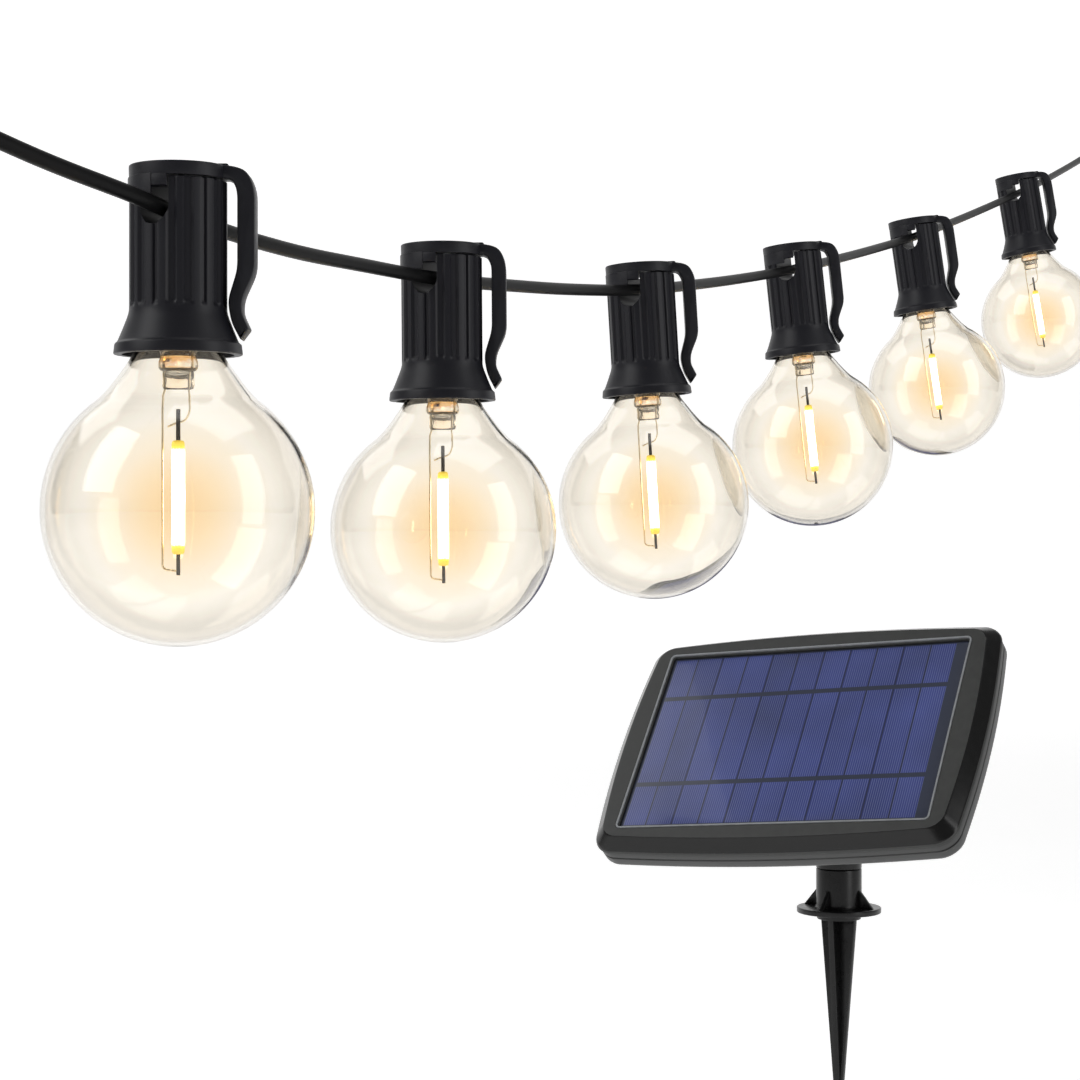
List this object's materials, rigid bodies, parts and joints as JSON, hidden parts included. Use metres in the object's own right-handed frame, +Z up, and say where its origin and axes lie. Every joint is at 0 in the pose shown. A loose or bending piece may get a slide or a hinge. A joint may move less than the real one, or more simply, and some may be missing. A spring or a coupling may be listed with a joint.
{
  "type": "solar string lights",
  "caption": "Globe lights in clip-on sockets along one hanging cable, with a tilting solar panel on a ground stake.",
  "frame": {"origin": "on the stake's axis at the underside of the ground flange, which is the ground line", "axes": "+Z up along the stem; +Y away from the viewer, along the string; +X to the viewer's right"},
  "size_m": [0.3314, 0.71, 0.3834],
  "materials": {
    "socket_plastic": "satin black moulded plastic with a fine grain",
    "globe_glass": "clear blown glass",
    "plated_shell": "plated screw shell",
    "solder": "dull solder",
    "stem_glass": "clear pressed glass with plated wires",
    "led_filament": "phosphor-coated rod, lit",
    "cable_pvc": "satin black PVC",
    "hook_steel": "zinc-plated wire",
    "frame_plastic": "dark grey moulded plastic",
    "housing_plastic": "charcoal moulded plastic",
    "solar_cells": "laminated blue-violet cells with fine silver lines",
    "battery_wrap": "shrink wrap",
    "board": "solder mask",
    "stake_plastic": "black moulded plastic",
    "button_rubber": "matte rubber"
  },
  "bodies": {
    "stake_and_string": {"light_1_socket": "socket_plastic", "light_1_cap": "socket_plastic", "light_2_socket": "socket_plastic", "light_2_cap": "socket_plastic", "light_3_socket": "socket_plastic", "light_3_cap": "socket_plastic", "light_4_socket": "socket_plastic", "light_4_cap": "socket_plastic", "light_5_socket": "socket_plastic", "light_5_cap": "socket_plastic", "light_6_socket": "socket_plastic", "light_6_cap": "socket_plastic", "string_cable": "cable_pvc", "cable_end_cap": "cable_pvc", "end_cap_hook": "hook_steel", "string_plug": "cable_pvc", "plug_hook": "hook_steel", "stem_tube": "stake_plastic", "ground_stake": "stake_plastic"},
    "bulb_1_travel": {"light_1_contact_tip": "solder"},
    "bulb_1": {"light_1_globe": "globe_glass", "light_1_screw_base": "plated_shell", "light_1_stem": "stem_glass", "light_1_filament": "led_filament"},
    "bulb_2_travel": {"light_2_contact_tip": "solder"},
    "bulb_2": {"light_2_globe": "globe_glass", "light_2_screw_base": "plated_shell", "light_2_stem": "stem_glass", "light_2_filament": "led_filament"},
    "bulb_3_travel": {"light_3_contact_tip": "solder"},
    "bulb_3": {"light_3_globe": "globe_glass", "light_3_screw_base": "plated_shell", "light_3_stem": "stem_glass", "light_3_filament": "led_filament"},
    "bulb_4_travel": {"light_4_contact_tip": "solder"},
    "bulb_4": {"light_4_globe": "globe_glass", "light_4_screw_base": "plated_shell", "light_4_stem": "stem_glass", "light_4_filament": "led_filament"},
    "bulb_5_travel": {"light_5_contact_tip": "solder"},
    "bulb_5": {"light_5_globe": "globe_glass", "light_5_screw_base": "plated_shell", "light_5_stem": "stem_glass", "light_5_filament": "led_filament"},
    "bulb_6_travel": {"light_6_contact_tip": "solder"},
    "bulb_6": {"light_6_globe": "globe_glass", "light_6_screw_base": "plated_shell", "light_6_stem": "stem_glass", "light_6_filament": "led_filament"},
    "stem_head": {"stem_head": "stake_plastic"},
    "thumbscrew": {"tilt_thumbscrew": "housing_plastic"},
    "tilt_bracket": {"tilt_bracket": "housing_plastic"},
    "panel": {"front_frame": "frame_plastic", "solar_plate": "solar_cells", "rear_housing": "housing_plastic", "battery": "battery_wrap", "circuit_board": "board", "cable_inlet": "button_rubber"},
    "power_button": {"power_button": "button_rubber"},
    "mode_button": {"mode_button": "button_rubber"}
  },
  "joints": [
    {"name": "bulb_1_withdraw", "type": "slide", "parent": "stake_and_string", "child": "bulb_1_travel", "axis": [0, 0, -1], "range_m": [0, 0.00762]},
    {"name": "bulb_1_unscrew", "type": "hinge", "parent": "bulb_1_travel", "child": "bulb_1", "pos_m": [-0.1677, -0.593, 0.147], "axis": [0, 0, -1], "range_deg": [0, 1080]},
    {"name": "bulb_2_withdraw", "type": "slide", "parent": "stake_and_string", "child": "bulb_2_travel", "axis": [0.007, 0, -1], "range_m": [0, 0.00762]},
    {"name": "bulb_2_unscrew", "type": "hinge", "parent": "bulb_2_travel", "child": "bulb_2", "pos_m": [-0.1318, -0.5168, 0.1445], "axis": [0.007, 0, -1], "range_deg": [0, 1080]},
    {"name": "bulb_3_withdraw", "type": "slide", "parent": "stake_and_string", "child": "bulb_3_travel", "axis": [0.0593, 0, -0.9982], "range_m": [0, 0.00762]},
    {"name": "bulb_3_unscrew", "type": "hinge", "parent": "bulb_3_travel", "child": "bulb_3", "pos_m": [-0.0908, -0.433, 0.1503], "axis": [0.0593, 0, -0.9982], "range_deg": [0, 1080]},
    {"name": "bulb_4_withdraw", "type": "slide", "parent": "stake_and_string", "child": "bulb_4_travel", "axis": [0.1045, 0, -0.9945], "range_m": [0, 0.00762]},
    {"name": "bulb_4_unscrew", "type": "hinge", "parent": "bulb_4_travel", "child": "bulb_4", "pos_m": [-0.0466, -0.3343, 0.1662], "axis": [0.1045, 0, -0.9945], "range_deg": [0, 1080]},
    {"name": "bulb_5_withdraw", "type": "slide", "parent": "stake_and_string", "child": "bulb_5_travel", "axis": [0.1426, 0, -0.9898], "range_m": [0, 0.00762]},
    {"name": "bulb_5_unscrew", "type": "hinge", "parent": "bulb_5_travel", "child": "bulb_5", "pos_m": [0.0028, -0.2186, 0.1877], "axis": [0.1426, 0, -0.9898], "range_deg": [0, 1080]},
    {"name": "bulb_6_withdraw", "type": "slide", "parent": "stake_and_string", "child": "bulb_6_travel", "axis": [0.165, 0, -0.9863], "range_m": [0, 0.00762]},
    {"name": "bulb_6_unscrew", "type": "hinge", "parent": "bulb_6_travel", "child": "bulb_6", "pos_m": [0.0577, -0.0972, 0.2186], "axis": [0.165, 0, -0.9863], "range_deg": [0, 1080]},
    {"name": "stem_swivel", "type": "hinge", "parent": "stake_and_string", "child": "stem_head", "pos_m": [0, 0, 0.01], "axis": [0, 0, 1], "range_deg": [-180, 180]},
    {"name": "panel_tilt", "type": "hinge", "parent": "stem_head", "child": "tilt_bracket", "pos_m": [0, 0, 0.0378], "axis": [-0.8241, 0.5664, 0], "range_deg": [-42, 47]},
    {"name": "thumbscrew_turn", "type": "hinge", "parent": "stem_head", "child": "thumbscrew", "pos_m": [0, 0, 0.0378], "axis": [0.8241, -0.5664, 0], "range_deg": [-180, 180]},
    {"name": "panel_turn", "type": "hinge", "parent": "tilt_bracket", "child": "panel", "pos_m": [-0.01015, -0.01477, 0.05406], "axis": [0.4196, 0.6105, -0.6717], "range_deg": [-84, 96]},
    {"name": "power_button_press", "type": "slide", "parent": "panel", "child": "power_button", "axis": [-0.4196, -0.6105, 0.6717], "range_m": [0, 0.0008], "stiffness_N_per_m": 300, "springref_m": -0.001},
    {"name": "mode_button_press", "type": "slide", "parent": "panel", "child": "mode_button", "axis": [-0.4196, -0.6105, 0.6717], "range_m": [0, 0.0008], "stiffness_N_per_m": 300, "springref_m": -0.001}
  ],
  "couplings": [
    {"joint": "bulb_1_unscrew", "follows": "bulb_1_withdraw", "rad_per_m": 2473.7},
    {"joint": "bulb_2_unscrew", "follows": "bulb_2_withdraw", "rad_per_m": 2473.7},
    {"joint": "bulb_3_unscrew", "follows": "bulb_3_withdraw", "rad_per_m": 2473.7},
    {"joint": "bulb_4_unscrew", "follows": "bulb_4_withdraw", "rad_per_m": 2473.7},
    {"joint": "bulb_5_unscrew", "follows": "bulb_5_withdraw", "rad_per_m": 2473.7},
    {"joint": "bulb_6_unscrew", "follows": "bulb_6_withdraw", "rad_per_m": 2473.7}
  ]
}
